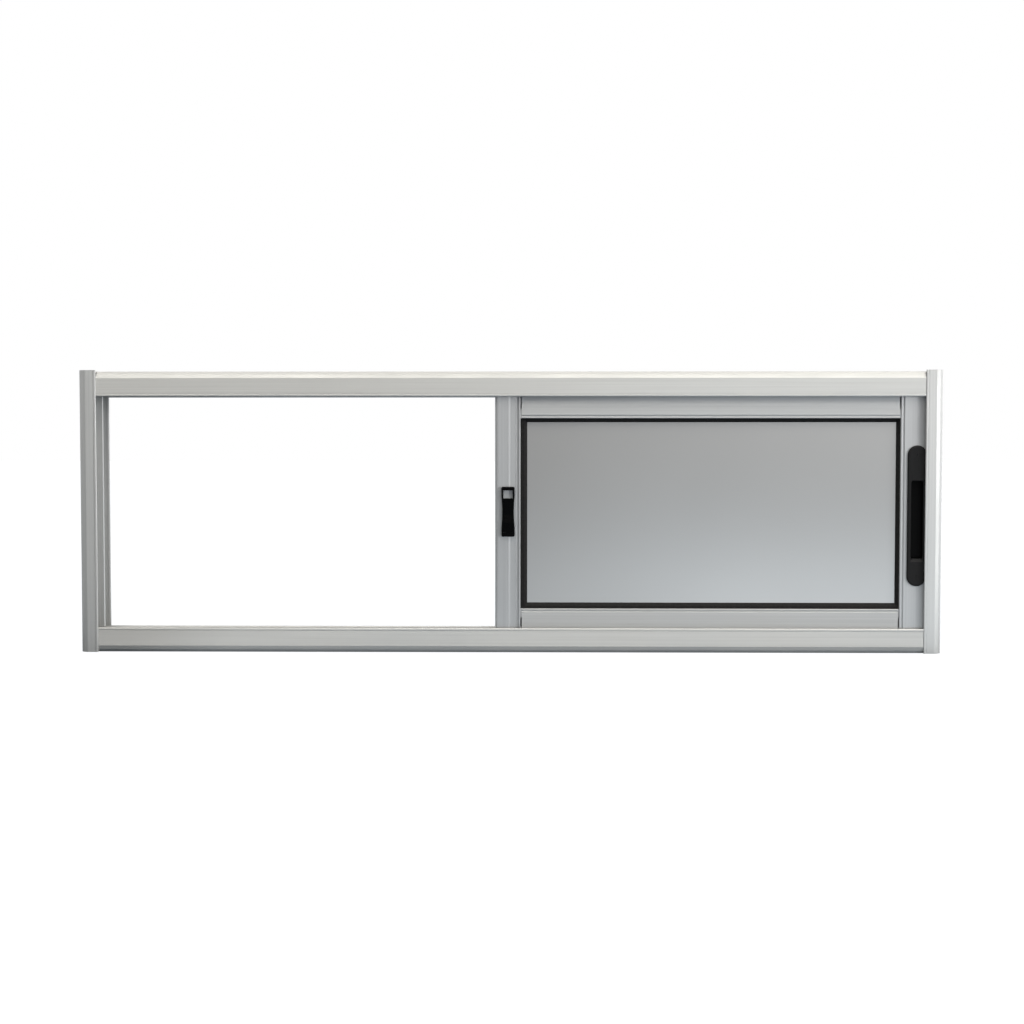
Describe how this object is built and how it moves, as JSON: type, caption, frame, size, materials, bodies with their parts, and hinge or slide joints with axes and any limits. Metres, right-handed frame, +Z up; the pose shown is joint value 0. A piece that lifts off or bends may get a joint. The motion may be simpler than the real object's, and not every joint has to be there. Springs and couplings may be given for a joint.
{
  "type": "aluminium sliding window",
  "caption": "Low wide aluminium sliding window: flanged frame with twin tracks, glazed sashes slid to one side, black flush handles and a thumb latch; the other side stands open.",
  "frame": {"origin": "middle of the sill's underside, where the window rests", "axes": "+X to the right seen from the room, +Y outwards through the window, +Z up"},
  "size_m": [1.2, 0.074, 0.394],
  "materials": {
    "frame_aluminium": "satin anodised, natural silver",
    "sash_aluminium": "satin anodised, natural silver",
    "grey_glass": "smooth grey obscured glass",
    "gasket_rubber": "matt black extruded rubber",
    "black_hardware": "black, lightly textured",
    "nylon": "plain moulded"
  },
  "bodies": {
    "root": {"left_jamb": "frame_aluminium", "right_jamb": "frame_aluminium", "head": "frame_aluminium", "head_front_flange": "frame_aluminium", "head_divider": "frame_aluminium", "head_rear_flange": "frame_aluminium", "sill": "frame_aluminium", "sill_front_flange": "frame_aluminium", "sill_divider": "frame_aluminium", "sill_rear_flange": "frame_aluminium", "front_sash_meeting_stile": "sash_aluminium", "front_sash_lock_stile": "sash_aluminium", "front_sash_top_rail": "sash_aluminium", "front_sash_bottom_rail": "sash_aluminium", "front_sash_glass": "grey_glass", "front_sash_gasket": "gasket_rubber", "front_sash_rollers": "nylon", "front_sash_top_guides": "nylon", "front_sash_flush_handle": "black_hardware", "latch_case": "black_hardware", "latch_thumb_slide": "black_hardware", "rear_sash_meeting_stile": "sash_aluminium", "rear_sash_lock_stile": "sash_aluminium", "rear_sash_top_rail": "sash_aluminium", "rear_sash_bottom_rail": "sash_aluminium", "rear_sash_glass": "grey_glass", "rear_sash_gasket": "gasket_rubber", "rear_sash_rollers": "nylon", "rear_sash_top_guides": "nylon", "rear_sash_flush_handle": "black_hardware"}
  },
  "joints": []
}
